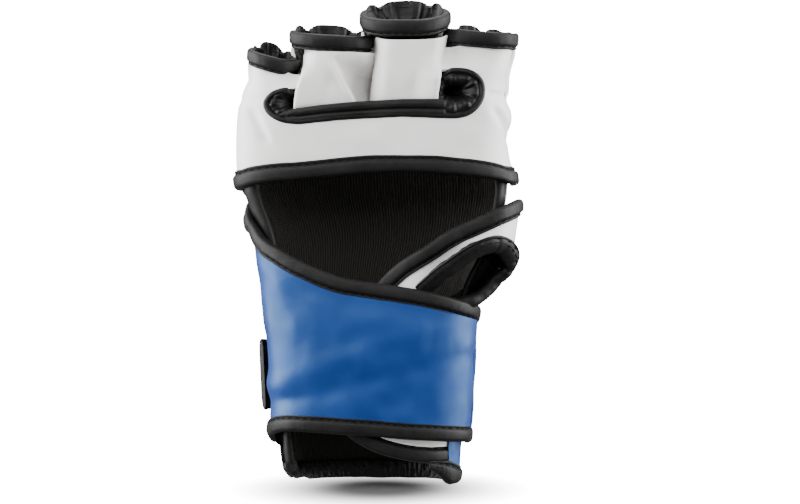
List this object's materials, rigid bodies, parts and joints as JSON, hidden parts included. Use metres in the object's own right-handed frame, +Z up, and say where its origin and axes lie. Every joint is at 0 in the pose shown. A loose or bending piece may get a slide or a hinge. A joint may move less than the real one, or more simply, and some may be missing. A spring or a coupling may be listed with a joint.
{
  "type": "mma glove",
  "caption": "Right-hand open-palm grappling glove: padded back, separate finger stalls, finger slot, thumb loop and a wide wrap-round wrist strap that opens.",
  "frame": {"origin": "on the ground under the middle of the glove, which stands on its cuff", "axes": "+Z up from the cuff to the fingertips' side, the open palm faces -Y, the thumb side is +X"},
  "size_m": [0.136, 0.0682, 0.2263],
  "materials": {
    "white_leather": "smooth white coated leather with a fine grain and a soft sheen",
    "blue_leather": "smooth royal blue coated leather, slightly glossier than the white",
    "black_leather": "soft black leather binding with black stitching",
    "black_lining": "matte black ribbed lining cloth",
    "foam": "dark grey closed-cell foam sheet, hidden inside",
    "hook_loop": "black hook-and-loop tape"
  },
  "bodies": {
    "hand": {"back_lining": "black_lining", "knuckle_foam": "foam", "hand_back_foam": "foam", "cuff_foam": "foam", "back_shell": "white_leather", "cuff_shell": "blue_leather", "back_panel": "blue_leather", "loop_patch": "hook_loop", "ulnar_edge_binding": "black_leather", "radial_edge_binding": "black_leather", "cuff_hem": "black_leather", "palm_band": "white_leather", "palm_band_lining": "black_lining", "palm_band_binding": "black_leather", "grip_bar": "black_leather"},
    "little_finger": {"little_finger_lining": "black_lining", "little_finger_foam": "foam", "little_finger_pad": "white_leather", "little_finger_binding": "black_leather", "little_finger_front": "white_leather"},
    "ring_finger": {"ring_finger_lining": "black_lining", "ring_finger_foam": "foam", "ring_finger_pad": "white_leather", "ring_finger_binding": "black_leather", "ring_finger_loop": "white_leather"},
    "middle_finger": {"middle_finger_lining": "black_lining", "middle_finger_foam": "foam", "middle_finger_pad": "white_leather", "middle_finger_binding": "black_leather", "middle_finger_loop": "white_leather"},
    "index_finger": {"index_finger_lining": "black_lining", "index_finger_foam": "foam", "index_finger_pad": "white_leather", "index_finger_binding": "black_leather", "index_finger_front": "white_leather"},
    "thumb": {"thumb_panel": "white_leather", "thumb_panel_binding": "black_leather", "thumb_ring": "black_leather"},
    "strap": {"strap_shell": "blue_leather", "strap_lining": "black_lining", "strap_upper_binding": "black_leather", "strap_lower_binding": "black_leather"},
    "strap_tail": {"tail_shell": "blue_leather", "tail_lining": "black_lining", "tail_upper_binding": "black_leather", "tail_lower_binding": "black_leather", "hook_patch": "hook_loop", "tail_pull_tab": "black_leather"},
    "cuff_flap": {"flap_shell": "white_leather", "flap_lining": "black_lining", "flap_binding": "black_leather"}
  },
  "joints": [
    {"name": "little_knuckle", "type": "hinge", "parent": "hand", "child": "little_finger", "pos_m": [-0.05042, -0.01004, 0.1785], "axis": [1, 0, 0], "range_deg": [-8, 31], "stiffness_Nm_per_rad": 0.05},
    {"name": "ring_knuckle", "type": "hinge", "parent": "hand", "child": "ring_finger", "pos_m": [-0.02142, -0.01004, 0.179], "axis": [1, 0, 0], "range_deg": [-8, 31], "stiffness_Nm_per_rad": 0.05},
    {"name": "middle_knuckle", "type": "hinge", "parent": "hand", "child": "middle_finger", "pos_m": [0.01458, -0.01004, 0.18], "axis": [1, 0, 0], "range_deg": [-8, 31], "stiffness_Nm_per_rad": 0.05},
    {"name": "index_knuckle", "type": "hinge", "parent": "hand", "child": "index_finger", "pos_m": [0.04958, -0.01004, 0.1825], "axis": [1, 0, 0], "range_deg": [-8, 31], "stiffness_Nm_per_rad": 0.05},
    {"name": "thumb_root", "type": "hinge", "parent": "hand", "child": "thumb", "pos_m": [0.05658, 0.00046, 0.11], "axis": [0.2567, -0.0856, 0.9627], "range_deg": [-10, 25], "stiffness_Nm_per_rad": 0.06},
    {"name": "tail_fold", "type": "hinge", "parent": "strap", "child": "strap_tail", "pos_m": [0.04858, -0.00454, 0.051], "axis": [-0.0859, 0, -0.9963], "range_deg": [0, 132]},
    {"name": "strap_root", "type": "hinge", "parent": "hand", "child": "strap", "pos_m": [-0.05442, 0.00046, 0.072], "axis": [0.0869, 0, -0.9962], "range_deg": [0, 26.4]},
    {"name": "flap_root", "type": "hinge", "parent": "hand", "child": "cuff_flap", "pos_m": [0.03608, -0.01254, 0.047], "axis": [0.0571, 0, 0.9984], "range_deg": [0, 8]}
  ],
  "couplings": [
    {"joint": "strap_root", "follows": "tail_fold", "ratio": 0.2},
    {"joint": "flap_root", "follows": "tail_fold", "ratio": 0.06}
  ]
}
